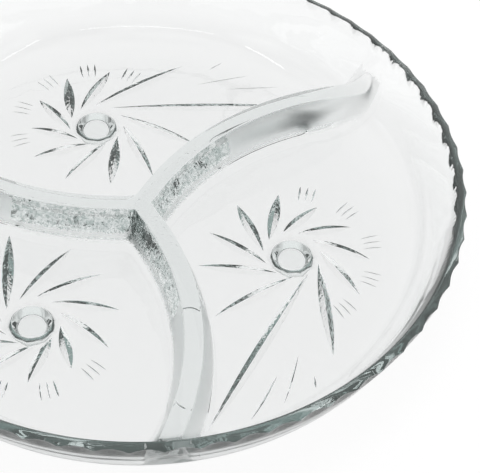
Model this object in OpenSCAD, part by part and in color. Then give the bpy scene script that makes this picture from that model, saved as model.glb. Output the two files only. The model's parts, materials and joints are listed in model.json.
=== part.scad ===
// Round relish tray of pressed glass with three compartments.
// The one piece of glass is drawn as its named regions, which meet face to face.
// Millimetres and degrees. The tray stands on z = 0 with its middle at the origin.
// Directions in plan are counted from +X towards +Y, and the three thirds follow each other clockwise.

/* [Tray] */
// Diameter across the points of the rim's teeth
tray_d = 254; // [236:1:290]
// Height from the table to the top of the rim
tray_h = 45; // [42:0.5:60]
// Thickness of the side wall, measured square to it
wall_t = 5.3; // [4:0.1:7]
// Lean of the side wall, measured from the table
wall_lean = 68; // [62:1:80]
// Radius of the inner curve between a floor and the side wall
heel_r = 20; // [12:0.5:24]
// Thickness of the floors
floor_t = 5; // [4:0.1:7]

/* [Rim] */
// Height of the toothed band at the top of the wall
rim_band_h = 12; // [10:0.5:16]
// How far the outer edge of the rim lies below its inner edge
rim_drop = 1.6; // [0.6:0.1:2.5]
// Number of teeth on each third of the rim
third_teeth = 22; // [18:1:25]
// Direction of the first tooth's point
tooth_turn = 1; // [-2.5:0.1:2.5]
// Width of a tooth's blunt point between two scallops
tooth_tip_w = 0.8; // [0.5:0.1:1.5]
// Depth of a scallop at its deepest place, measured square to the wall
scallop_depth = 1.2; // [0.8:0.1:1.4]

/* [Dividers] */
// Height of the dividers above the floors
divider_h = 14; // [8:0.5:20]
// Width of a divider's flat top
divider_top_w = 7.3; // [5:0.1:9]
// Width of a divider at the floor
divider_base_w = 15; // [13:0.5:18]
// Radius of the curve that a divider follows in plan
divider_curve_r = 114; // [108:1:240]
// Direction in which the first divider leaves the middle
divider_heading = 64.5; // [40:1:90]
// Gap between the end of a divider's top and the side wall
divider_end_gap = 1; // [1:0.5:8]
// Diameter of the joint in the middle, where the dividers are still straight
hub_d = 22; // [21:0.5:30]

/* [Grooves under the dividers] */
// Distance from the middle at which a groove begins
groove_start_r = 53; // [36:1:70]
// How far the sides of a groove stand in from the sides of its divider
groove_wall = 3.6; // [2.5:0.1:4.5]
// Depth of a groove, measured from the underside of the floor
groove_depth = 2; // [1:0.5:3.5]

/* [Feet] */
// Height of the button feet
foot_h = 8; // [5:0.5:12]
// Diameter of a foot where it leaves the floor
foot_root_d = 16; // [16:0.5:22]
// Diameter of the flat bottom of a foot
foot_base_d = 11.5; // [8:0.5:16]
// Distance of the feet from the middle
foot_place_r = 61.7; // [59:0.1:63]
// Direction of the first foot
foot_turn = -7; // [-12:1:0]

/* [Pinwheel cuts] */
// Number of leaves round each foot
leaf_count = 11; // [9:1:11]
// Width of a leaf at its middle
leaf_w = 4.6; // [3:0.1:5]
// Depth of a leaf at its middle
leaf_depth = 1.7; // [0.8:0.1:2.2]
// Distance of the leaves' inner ends from the middle of the foot
leaf_start_r = 11.5; // [11.2:0.1:13]
// Distance of the tips of the leaves that face the middle of the tray
leaf_tip_r = 34; // [28:0.5:35]
// Distance of the tips of the leaves that face the rim
rim_leaf_tip_r = 30; // [26:0.5:31]
// Distance of the tips of the two leaves beside the long one
side_leaf_tip_r = 44; // [36:0.5:45]
// Distance of the tip of the long leaf that points to the compartment's corner
long_leaf_tip_r = 80; // [60:1:82]
// How far each leaf turns clockwise from its inner end to its tip
leaf_swirl = 47; // [30:1:55]
// Length of the fine cuts between the tips of the leaves that face the rim
fan_cut_len = 6.5; // [3:0.5:7]
// Width of a fine cut
fan_cut_w = 0.8; // [0.4:0.1:1.2]
// Depth of a fine cut
fan_cut_depth = 0.4; // [0.2:0.1:0.8]
// Distance of the middle of the fine cuts from the middle of the foot
fan_place_r = 29.6; // [27:0.1:30]

/* [Hidden] */
$fn = 120;
// Facets round the balls that shape the scallops, which are many and small
ball_faces = 72;
glass = [0.82, 0.88, 0.86, 0.55];
thirds = 3;
third_turn = 360 / thirds;
// Overrun of every cut past the glass that it cuts
cut_over = 3;
// Flat ring that the side wall keeps inside its heel
heel_flat = 0.7;
// Height of the heel over the floor as a share of its radius
heel_rise_share = 0.3;
// How far down the wall from the edge of the rim a scallop is deepest
scallop_low = 1;
// Extra clockwise turn of the long leaf, and of the leaf before it
long_leaf_turn = 9;
side_leaf_turn = 4;
// Direction of the first leaf's tip, counted from the direction of its foot
first_tip_turn = 170;
// Places in the round of leaves, counted clockwise from the first
long_leaf = 8;
rim_leaves = [3, 4, 5, 6];
fan_gaps = [2, 3, 4, 5, 6];
// Turns of the fine cuts of one fan away from the middle of their gap
fan_turns = [-5, 0, 5];

floor_z = foot_h + floor_t;
tip_z = tray_h - rim_drop;
band_z = tray_h - rim_band_h;
// The heel is the lower part of the wall, where it curves up from the floor
heel_z = floor_z + heel_rise_share * heel_r;
divider_top_z = floor_z + divider_h;
groove_top_z = foot_h + groove_depth;
heel_out_r = heel_r + wall_t;
tooth_step = third_turn / third_teeth;
// A ball of this radius shapes each scallop, so that the set width is left between two of them
scallop_w = PI * tray_d / (thirds * third_teeth) - tooth_tip_w;
scallop_r = 1 / (8 * scallop_depth / pow(scallop_w, 2) - 2 / tray_d);
hub_r = hub_d / 2;
// How far each divider reaches back past the middle, so that the three overlap there
hub_lap = 0.4 * divider_top_w;

function outside_r(z) = tray_d / 2 - (tip_z - z) / tan(wall_lean);
function inside_r(z) = outside_r(z) - wall_t / sin(wall_lean);
// Where the flat floor and the flat underside end and the heel begins
floor_r = inside_r(floor_z) - heel_r * tan(wall_lean / 2);
under_r = outside_r(foot_h) - heel_out_r * tan(wall_lean / 2);
panel_r = min(floor_r, under_r) - heel_flat;
// Height at which the heel's inner curve meets the straight wall, and the inner radius at any height
heel_top_z = floor_z + heel_r * (1 - cos(wall_lean));
function wall_in_r(z) = z > heel_top_z ? inside_r(z)
    : floor_r + sqrt(pow(heel_r, 2) - pow(floor_z + heel_r - z, 2));

function polar(r, turn) = r * [cos(turn), sin(turn)];
// A divider runs straight to the edge of the joint and then follows its curve. How far it has
// turned clockwise where it is a distance r from the middle of the tray
centre_r = norm([hub_r, divider_curve_r]);
function divider_turn(r) = acos((pow(centre_r, 2) + pow(divider_curve_r, 2) - pow(r, 2))
    / (2 * divider_curve_r * centre_r)) - atan2(hub_r, divider_curve_r);
function divider_w(z) = divider_base_w - (divider_base_w - divider_top_w) * (z - floor_z) / divider_h;
function heading(third) = divider_heading - third_turn * (third - 1);
function curve_centre(third) = polar(hub_r, heading(third)) + polar(divider_curve_r, heading(third) - 90);
// A divider's curve is drawn from well inside the joint, whose round edge then trims it
inside_x = sqrt(pow(hub_r, 2) - pow(divider_base_w / 2, 2)) / 2;
inside_turn = asin((inside_x - hub_r) / divider_curve_r);
divider_end_r = wall_in_r(divider_top_z) - divider_end_gap - divider_top_w / 2;
groove_base_w = divider_w(foot_h) - 2 * groove_wall;
groove_top_w = divider_w(groove_top_z) - 2 * groove_wall;
groove_end_r = panel_r - groove_wall;
nose_core = min(divider_top_w, divider_h) / 2;

function foot_place(third) = polar(foot_place_r, foot_turn - third_turn * (third - 1));
leaf_step = 360 / leaf_count;
function is_rim_leaf(i) = len(search(i, rim_leaves)) > 0;
function tip_r(i) = i == long_leaf ? long_leaf_tip_r
    : abs(i - long_leaf) == 1 ? side_leaf_tip_r
    : is_rim_leaf(i) ? rim_leaf_tip_r
    : leaf_tip_r;
function extra_turn(i) = i == long_leaf ? long_leaf_turn : i == long_leaf - 1 ? side_leaf_turn : 0;
function even_tip_turn(i) = first_tip_turn - leaf_step * i;

// Half section of a bowl that is solid up to its surface: a flat bottom, a round heel and a
// straight wall up to the points of the top
module bowl_half(flat_r, bottom_z, bend_r, top_points) {
    centre = [flat_r, bottom_z + bend_r];
    wall_start = centre + bend_r * [sin(wall_lean), -cos(wall_lean)];
    polygon(concat([[0, bottom_z], [flat_r, bottom_z], wall_start], top_points));
    intersection() {
        translate(centre) circle(r = bend_r);
        polygon([centre, centre - [0, 2 * bend_r], centre + 2 * bend_r * [1, -1],
            centre + 2 * bend_r * [sin(wall_lean), -cos(wall_lean)]]);
    }
}

module outer_half() {
    bowl_half(under_r, foot_h, heel_out_r,
        [[tray_d / 2, tip_z], [inside_r(tray_h), tray_h], [0, tray_h]]);
}

module inner_half() {
    top_z = tray_h + cut_over;
    bowl_half(floor_r, floor_z, heel_r, [[inside_r(top_z), top_z], [0, top_z]]);
}

// Ring of the wall between two heights
module wall_ring(from_z, to_z) {
    rotate_extrude() intersection() {
        difference() {
            outer_half();
            inner_half();
        }
        translate([panel_r, from_z]) square([tray_d, to_z - from_z]);
    }
}

// The toothed band. Each scallop is a shallow thumb-print cut by a ball outside the wall
module rim_band() {
    deepest_z = tip_z - scallop_low * sin(wall_lean);
    ball_out = scallop_r - scallop_depth;
    color(glass) difference() {
        wall_ring(band_z, tray_h);
        for (i = [0 : thirds * third_teeth - 1]) rotate([0, 0, tooth_turn + (i + 0.5) * tooth_step])
            translate([outside_r(deepest_z) + ball_out * sin(wall_lean), 0,
                deepest_z - ball_out * cos(wall_lean)]) sphere(r = scallop_r, $fn = ball_faces);
    }
}

module side_wall() {
    color(glass) wall_ring(heel_z, band_z);
}

module heel() {
    color(glass) wall_ring(foot_h, heel_z);
}

// Runs a section along a divider's curve between two turns of the curve
module along_divider(third, from_turn, to_turn) {
    translate(curve_centre(third)) rotate([0, 0, heading(third) + 90 - to_turn])
        rotate_extrude(angle = to_turn - from_turn) translate([divider_curve_r, 0]) children();
}

module at_divider(third, r) {
    translate(curve_centre(third)) rotate([0, 0, heading(third) + 90 - divider_turn(r)])
        translate([divider_curve_r, 0, 0]) children();
}

// Round outer end of a divider, with a core that reaches back into the divider and holds the two
// together
module divider_nose() {
    rotate([0, 0, 180]) rotate_extrude(angle = 180)
        polygon([[0, floor_z], [divider_base_w / 2, floor_z], [divider_top_w / 2, divider_top_z],
            [0, divider_top_z]]);
    translate([-nose_core / 2, -nose_core / 2, floor_z + divider_h / 2 - nose_core / 2]) cube(nose_core);
}

// Section between two heights whose sides slope in
module full_section(bottom_z, bottom_w, top_z, top_w) {
    polygon([[-bottom_w / 2, bottom_z], [bottom_w / 2, bottom_z], [top_w / 2, top_z],
        [-top_w / 2, top_z]]);
}

// Groove in the underside of the floor, beneath a divider
module groove(third) {
    below_z = foot_h - cut_over;
    below_w = groove_base_w + (groove_base_w - groove_top_w) * cut_over / (groove_top_z - foot_h);
    along_divider(third, divider_turn(groove_start_r), divider_turn(groove_end_r))
        full_section(below_z, below_w, groove_top_z, groove_top_w);
}

module hub_core() {
    cylinder(r = hub_r, h = tray_h);
}

// The joint of the three dividers, with the middle of the floor
module divider_hub() {
    color(glass) union() {
        intersection() {
            union() {
                for (third = [1 : thirds]) rotate([0, 0, heading(third)])
                    translate([-hub_lap, 0, 0]) rotate([90, 0, 90]) linear_extrude(hub_d)
                        full_section(floor_z, divider_base_w, divider_top_z, divider_top_w);
            }
            hub_core();
        }
        translate([0, 0, foot_h]) cylinder(r = hub_r, h = floor_t);
    }
}

// One divider from the joint to its round end, which runs into the inner curve of the wall
module divider(third) {
    color(glass) difference() {
        intersection() {
            union() {
                along_divider(third, inside_turn, divider_turn(divider_end_r))
                    full_section(floor_z, divider_base_w, divider_top_z, divider_top_w);
                at_divider(third, divider_end_r) divider_nose();
            }
            rotate_extrude() inner_half();
        }
        hub_core();
    }
}

// Double cone that cuts one straight leaf into the underside, widest and deepest at its middle.
// Its frame has the leaf's middle at the origin and the leaf along X
module leaf_cutter(leaf_len, w, depth) {
    wheel_r = pow(leaf_len, 2) / (8 * depth) + depth / 2;
    reach = 1.5;
    translate([0, 0, depth - wheel_r]) for (side = [-1, 1])
        rotate([side * 90, 0, 0])
            cylinder(h = reach * w / 2, r1 = wheel_r, r2 = wheel_r - reach * depth);
}

// Places a cut on the underside between two points, counted from a foot's place
module cut_between(start, tip, w, depth) {
    run = tip - start;
    middle = (start + tip) / 2;
    translate([middle.x, middle.y, foot_h]) rotate([0, 0, atan2(run.y, run.x)])
        leaf_cutter(norm(run), w, depth);
}

module pinwheel(third) {
    turn = foot_turn - third_turn * (third - 1);
    translate(foot_place(third)) rotate([0, 0, turn]) {
        for (i = [0 : leaf_count - 1])
            cut_between(polar(leaf_start_r, even_tip_turn(i) + leaf_swirl),
                polar(tip_r(i), even_tip_turn(i) - extra_turn(i)), leaf_w, leaf_depth);
        for (gap = fan_gaps, fan_turn = fan_turns)
            cut_between(polar(fan_place_r - fan_cut_len / 2, even_tip_turn(gap + 0.5) + fan_turn),
                polar(fan_place_r + fan_cut_len / 2, even_tip_turn(gap + 0.5) + fan_turn),
                fan_cut_w, fan_cut_depth);
    }
}

// Floor from the near edge of a divider to the near edge of the next one clockwise, so that it
// carries the next divider and has that one's groove in its underside
module floor_panel(third) {
    edge_r = divider_curve_r - divider_base_w / 2;
    color(glass) difference() {
        intersection() {
            translate([0, 0, foot_h]) cylinder(r = panel_r, h = floor_t);
            translate(curve_centre(third)) cylinder(r = edge_r, h = tray_h);
        }
        translate(curve_centre(third + 1)) cylinder(r = edge_r, h = tray_h);
        hub_core();
        groove(third + 1);
        pinwheel(third);
    }
}

module foot(third) {
    color(glass) translate(foot_place(third)) cylinder(d1 = foot_base_d, d2 = foot_root_d, h = foot_h);
}

module floor_1() floor_panel(1);
module floor_2() floor_panel(2);
module floor_3() floor_panel(3);
module divider_1() divider(1);
module divider_2() divider(2);
module divider_3() divider(3);
module foot_1() foot(1);
module foot_2() foot(2);
module foot_3() foot(3);

rim_band();
side_wall();
heel();
floor_1();
floor_2();
floor_3();
divider_hub();
divider_1();
divider_2();
divider_3();
foot_1();
foot_2();
foot_3();
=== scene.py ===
"""Looks of a round pressed-glass relish tray with curved dividers and pinwheel cuts underneath."""

import json
import logging
import math
from dataclasses import dataclass
from enum import Enum

import bpy
import numpy as np
from mathutils import Matrix, Vector
from mathutils.geometry import delaunay_2d_cdt

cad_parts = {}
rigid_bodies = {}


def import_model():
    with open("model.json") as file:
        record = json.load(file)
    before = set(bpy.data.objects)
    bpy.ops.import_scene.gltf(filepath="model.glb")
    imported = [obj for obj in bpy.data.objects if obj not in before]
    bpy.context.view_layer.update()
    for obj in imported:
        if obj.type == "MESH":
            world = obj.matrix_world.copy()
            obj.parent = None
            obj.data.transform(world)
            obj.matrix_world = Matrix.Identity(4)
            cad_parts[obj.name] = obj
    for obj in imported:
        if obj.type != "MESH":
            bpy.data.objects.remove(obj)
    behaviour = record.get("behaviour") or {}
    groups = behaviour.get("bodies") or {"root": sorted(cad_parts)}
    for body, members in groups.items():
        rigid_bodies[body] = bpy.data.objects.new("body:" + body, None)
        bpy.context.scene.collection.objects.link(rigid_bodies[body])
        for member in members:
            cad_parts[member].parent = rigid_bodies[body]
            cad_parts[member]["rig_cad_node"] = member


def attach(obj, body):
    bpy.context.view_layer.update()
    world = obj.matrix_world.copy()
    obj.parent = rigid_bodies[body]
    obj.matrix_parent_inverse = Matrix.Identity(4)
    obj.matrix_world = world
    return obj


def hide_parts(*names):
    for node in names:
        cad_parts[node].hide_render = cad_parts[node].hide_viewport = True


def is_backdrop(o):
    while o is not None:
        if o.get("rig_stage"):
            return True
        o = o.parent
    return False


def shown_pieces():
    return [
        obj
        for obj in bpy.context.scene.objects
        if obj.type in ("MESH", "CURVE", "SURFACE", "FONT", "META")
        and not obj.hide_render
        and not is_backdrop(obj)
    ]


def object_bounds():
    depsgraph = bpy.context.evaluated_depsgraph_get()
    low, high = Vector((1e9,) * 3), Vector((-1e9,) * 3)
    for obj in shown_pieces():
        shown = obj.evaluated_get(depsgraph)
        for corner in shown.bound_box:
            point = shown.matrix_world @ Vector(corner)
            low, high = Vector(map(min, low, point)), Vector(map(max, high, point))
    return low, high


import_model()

BOUNDS_AT_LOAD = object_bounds()
LOG = logging.getLogger("relish_tray")
MM = 0.001
# Turn in degrees from one compartment to the next
THIRD = 120
# Height that stands for no glass at all, far below the tray
NOWHERE = -1e3
# Distance in metres below which two points are one
WELD = 1e-6
# Distance in millimetres below which two faces touch
TOUCH = 1e-6
# Distance in millimetres past a shape's edge up to which it is still worked out
MARGIN = 1
HALVINGS = 40
Points = np.ndarray
Point = tuple[float, float, float]
# Points, triangles, and for each point the plan's ids that it stands for
Net = tuple[Points, list[tuple[int, ...]], list[list[int]]]


class Region(Enum):
    """Kinds of faces that meet in a crisp edge; those from GRAINED on have facets."""

    GROOVE_WALL = -2
    UPPER = -1
    SMOOTH = 0
    GRAINED = 2
    LEAF = 10


def smooth_max(a: Points, b: Points, blend: float | Points) -> Points:
    """Larger of two heights, with a round hollow where they meet.

    Args:
        a: First heights.
        b: Second heights.
        blend: Height difference over which the two run into each other.

    Returns:
        The blended heights.
    """
    return np.maximum(a, b) + np.clip(blend - np.abs(a - b), 0, None) ** 2 / (4 * blend)


def smooth_min(a: Points, b: Points, blend: float) -> Points:
    """Smaller of two heights, with a round edge where they meet."""
    return -smooth_max(-a, -b, blend)


def turn_points(points: Points, degrees: float) -> Points:
    """Points of the plan turned counter-clockwise about the middle of the tray."""
    c, s = math.cos(math.radians(degrees)), math.sin(math.radians(degrees))
    return points @ np.array([[c, s], [-s, c]])


def reach(points: Points) -> Points:
    """Distances of the points from the middle of the tray."""
    return np.linalg.norm(points, axis=1)


def polar(radius: float | Points, degrees: float | Points) -> Points:
    """Point or points at a distance and a direction from the middle."""
    a = np.radians(degrees)
    return np.stack([radius * np.cos(a), radius * np.sin(a)], -1)


@dataclass
class WallSizes:
    """Sizes of the wall, the rim and the floor in millimetres and degrees."""

    across: float = 254.0
    height: float = 45.0
    wall_t: float = 5.3
    lean: float = 68.0
    inner_lean: float = 66.0
    heel_r: float = 20.0
    floor_t: float = 5.0
    foot_h: float = 8.0
    rim_drop: float = 1.6
    rim_slope_share: float = 0.35
    rim_round: float = 1.2
    teeth: int = 66
    tooth_turn: float = 1.0
    tip_w: float = 0.8
    print_depth: float = 1.2
    print_low: float = -1.5
    print_blend: float = 2.0


@dataclass
class DividerSizes:
    """Sizes of the dividers and of the grooves under them.

    The end gap is below nought because a divider's end runs on into the wall. A blend or a round is
    the height over which two faces run into each other, and the joint's is a distance in plan.
    """

    height: float = 14.0
    top_w: float = 7.3
    base_w: float = 15.0
    curve_r: float = 114.0
    heading: float = 64.5
    straight: float = 11.0
    end_gap: float = -2.5
    groove_start_r: float = 53.0
    groove_wall: float = 3.6
    groove_depth: float = 1.0
    groove_run_out: float = 2.5
    groove_stop: float = 8.0
    top_round: float = 1.6
    groove_round: float = 0.3
    joint_blend: float = 2.5
    floor_blend: float = 3.5
    nose_blend: float = 8.0
    nose_blend_from_r: float = 90.0
    nose_blend_run: float = 16.0


@dataclass
class PinwheelSizes:
    """Sizes of a foot and of the cuts round it.

    A leaf's tip has an extra clockwise turn and a distance from the foot, and a long stroke has the
    distance and direction of its start and of its tip. A fan's gap counts leaves from the first, so
    that 2.5 is midway between two leaves, and its turns are those of its strokes in degrees.
    """

    place_r: float = 61.7
    turn: float = -7.0
    root_d: float = 16.0
    base_d: float = 11.5
    leaves: int = 11
    leaf_w: float = 4.6
    leaf_depth: float = 1.7
    start_r: float = 11.5
    swirl: float = 47.0
    first_tip_turn: float = 170.0
    leaf_tips: tuple[tuple[float, float], ...] = (
        (-3.0, 35.0), (-3.5, 34.0), (-4.0, 32.5), (-5.0, 28.0), (-3.0, 29.0), (-1.5, 31.5),
        (0.0, 33.0), (4.0, 52.0), (9.0, 92.0), (-1.0, 44.5), (1.5, 38.5))
    fan_len: float = 8.0
    fan_w: float = 0.8
    fan_depth: float = 0.4
    fan_r: float = 33.5
    fan_gaps: tuple[float, ...] = (2.5, 3.5, 4.5, 5.5, 6.5)
    fan_turns: tuple[float, ...] = (-5.0, 0.0, 5.0)
    long_strokes: tuple[tuple[float, float, float, float], ...] = (
        (49.7, -78.0, 73.3, -83.0),
        (60.0, -86.3, 82.8, -91.3),
        (60.0, -72.7, 66.8, -72.7),
    )
    foot_edge_round: float = 0.6
    foot_base_round: float = 0.4


@dataclass
class GrainSizes:
    """Sizes of the grain that the wheel and the mould leave in cuts and on the solid bars.

    The sides of a divider's outer part have no grain but a satin face, up to soft_half from the
    middle line. A face in the groove is steep where its normal's upright share is below that value.
    """

    step: float = 0.62
    leaf_from_w: float = 2.0
    leaf_clear: float = 0.2
    leaf_rough_from: float = 0.15
    leaf_gap_share: float = 0.4
    bar_gap_share: float = 0.3
    scatter: float = 0.4
    seam_clear: float = 0.05
    side_inset: float = 0.2
    side_lap: float = 0.1
    cut_height: float = 0.06
    bar_height: float = 0.12
    bar_middle_share: float = 0.12
    side_height: float = 0.7
    side_from: float = 3.8
    bar_half: float = 6.6
    soft_half: float = 7.4
    bar_end_r: float = 47.5
    side_over: float = 4.0
    steep: float = 0.75
    seed: int = 7


@dataclass
class NetSizes:
    """Places and distances of the points from which the tray's two faces are netted.

    Offsets are distances from a divider's middle line and stops are distances along the seam from
    the end of that line. Insets count inwards from the toothed edge or from the edge of the groove's
    roof, and rings with a list count outwards from the lip or from an edge of the foot. A clearance
    is the least distance of loose points from the points that are there before them.
    """

    step: float = 1.4
    cap_step: float = 1.0
    cap_clear_turn: float = 0.2
    offsets: tuple[float, ...] = (2.2, 2.9, 3.3, 3.65, 4.0, 4.4, 5.2, 6.2, 6.8, 7.2, 7.5, 7.9, 8.5)
    stops: tuple[float, ...] = (10.0, 11.5, 13.0, 14.5, 15.5, 16.3, 17.0, 17.7, 18.2)
    last_stop: float = 0.3
    stop_clear: float = 0.25
    groove_insets: tuple[float, ...] = (1.2, 0.5, 0.0)
    joint_clear: float = 0.2
    on_line: float = 0.001
    per_tooth: int = 12
    ring_points: int = 132
    fine_points: int = 264
    ring_clear: float = 0.55
    heel_rings: int = 15
    wall_rings: int = 6
    lip_from_wall: float = 0.7
    lip_rings: tuple[float, ...] = (-0.35, 0.0, 0.35, 0.8, 1.6)
    lip_clear: float = 0.25
    edge_insets: tuple[float, ...] = (0.25, 0.7)
    edge_clear: float = 0.2
    leaf_points: int = 25
    fine_cut_points: int = 7
    foot_base_rings: tuple[float, ...] = (-0.6, 0.0, 0.5)
    foot_root_rings: tuple[float, ...] = (-0.4, 0.0)
    foot_turn_step: float = 5.0
    under_heel_rings: int = 16
    under_wall_rings: int = 4
    under_wall_r: float = 123.0
    print_from_r: float = 123.4
    print_to_r: float = 126.6
    print_step: float = 0.3
    print_clear: float = 0.12
    low_edge_inset: float = 0.12
    low_edge_clear: float = 0.1


class Wall:
    """Heights of the wall, rim and floor over a point of the plan."""

    def __init__(self, sizes: WallSizes) -> None:
        """Works out where the curves of the wall begin and end.

        Args:
            sizes: The wall's sizes.
        """
        self.sizes = s = sizes
        self.slope = math.tan(math.radians(s.lean))
        self.sin = math.sin(math.radians(s.lean))
        self.floor_z = s.foot_h + s.floor_t
        self.edge_z = s.height - s.rim_drop
        half = math.tan(math.radians(s.lean / 2))
        self.out_heel_r = s.heel_r + s.wall_t
        self.floor_r = self.inside_r(self.floor_z) - s.heel_r * math.tan(math.radians(s.inner_lean / 2))
        self.under_r = self.outside_r(s.foot_h) - self.out_heel_r * half
        step_w = math.pi * s.across / s.teeth - s.tip_w
        self.ball_r = 1 / (8 * s.print_depth / step_w**2 - 2 / s.across)
        low_z = self.edge_z - s.print_low * self.sin
        out = self.ball_r - s.print_depth
        self.ball_at = self.outside_r(low_z) + out * self.sin
        self.ball_z = low_z - out * math.cos(math.radians(s.lean))

    def outside_r(self, z: float) -> float:
        """Radius of the outer face at a height."""
        return self.sizes.across / 2 - (self.edge_z - z) / self.slope

    def inside_r(self, z: float) -> float:
        """Radius of the inner face at a height; the wall gets thinner towards the rim."""
        at_floor = self.outside_r(self.floor_z) - self.sizes.wall_t / self.sin
        return at_floor + (z - self.floor_z) / math.tan(math.radians(self.sizes.inner_lean))

    def bowl(self, r: Points, flat_r: float, flat_z: float, bend_r: float, lean: float) -> Points:
        """Heights of a flat bottom, a round heel and a straight wall.

        Args:
            r: Distances from the middle.
            flat_r: Radius at which the flat bottom ends.
            flat_z: Height of the flat bottom.
            bend_r: Radius of the heel.
            lean: Steepness of the straight wall in degrees.

        Returns:
            The height of the surface at each distance.
        """
        steep = math.radians(lean)
        past = np.clip(r - flat_r, 0, None)
        bend = flat_z + bend_r - np.sqrt(np.clip(bend_r**2 - past**2, 0, None))
        wall = flat_z + (r - flat_r - bend_r * math.tan(steep / 2)) * math.tan(steep)
        return np.where(r < flat_r + bend_r * math.sin(steep), bend, wall)

    def inner(self, r: Points) -> Points:
        """Height of the floor, the inner wall and the top of the rim.

        Args:
            r: Distances from the middle.

        Returns:
            The height at each distance.
        """
        s = self.sizes
        bowl = self.bowl(r, self.floor_r, self.floor_z, s.heel_r, s.inner_lean)
        inner_r = self.inside_r(s.height)
        out = (r - inner_r) / (s.across / 2 - inner_r)
        curved = (1 - s.rim_slope_share) * np.clip(out, 0, None) ** 2
        return smooth_min(bowl, s.height - s.rim_drop * (s.rim_slope_share * out + curved), s.rim_round)

    def ball_top(self, xy: Points) -> Points:
        """Height of the top of the nearest scallop ball.

        Args:
            xy: Points of the plan.

        Returns:
            The height at each point, or NOWHERE outside the balls.
        """
        s = self.sizes
        step = 360 / s.teeth
        az = np.degrees(np.arctan2(xy[:, 1], xy[:, 0]))
        middle = s.tooth_turn + (np.floor((az - s.tooth_turn) / step) + 0.5) * step
        away = reach(xy - polar(self.ball_at, middle))
        top = self.ball_z + np.sqrt(np.clip(self.ball_r**2 - away**2, 0, None))
        return np.where(away < self.ball_r, top, NOWHERE)

    def outer(self, xy: Points) -> Points:
        """Height of the underside, the outer wall and the thumbprints under the rim.

        Args:
            xy: Points of the plan.

        Returns:
            The height at each point.
        """
        r = reach(xy)
        base = self.bowl(r, self.under_r, self.sizes.foot_h, self.out_heel_r, self.sizes.lean)
        prints = np.where(r > self.ball_at - self.ball_r - MARGIN, self.ball_top(xy), NOWHERE)
        return smooth_max(base, prints, self.sizes.print_blend)

    def edge_r(self, az: Points) -> Points:
        """Radius of the toothed edge, found by halving.

        Args:
            az: Directions in degrees.

        Returns:
            The radius in each direction.
        """
        low = np.full(az.shape, self.inside_r(self.sizes.height) + MARGIN)
        high = np.full(az.shape, self.sizes.across / 2)
        for _ in range(HALVINGS):
            mid = (low + high) / 2
            open_here = self.inner(mid) - self.outer(polar(mid, az)) > TOUCH
            low, high = np.where(open_here, mid, low), np.where(open_here, high, mid)
        return low


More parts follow.
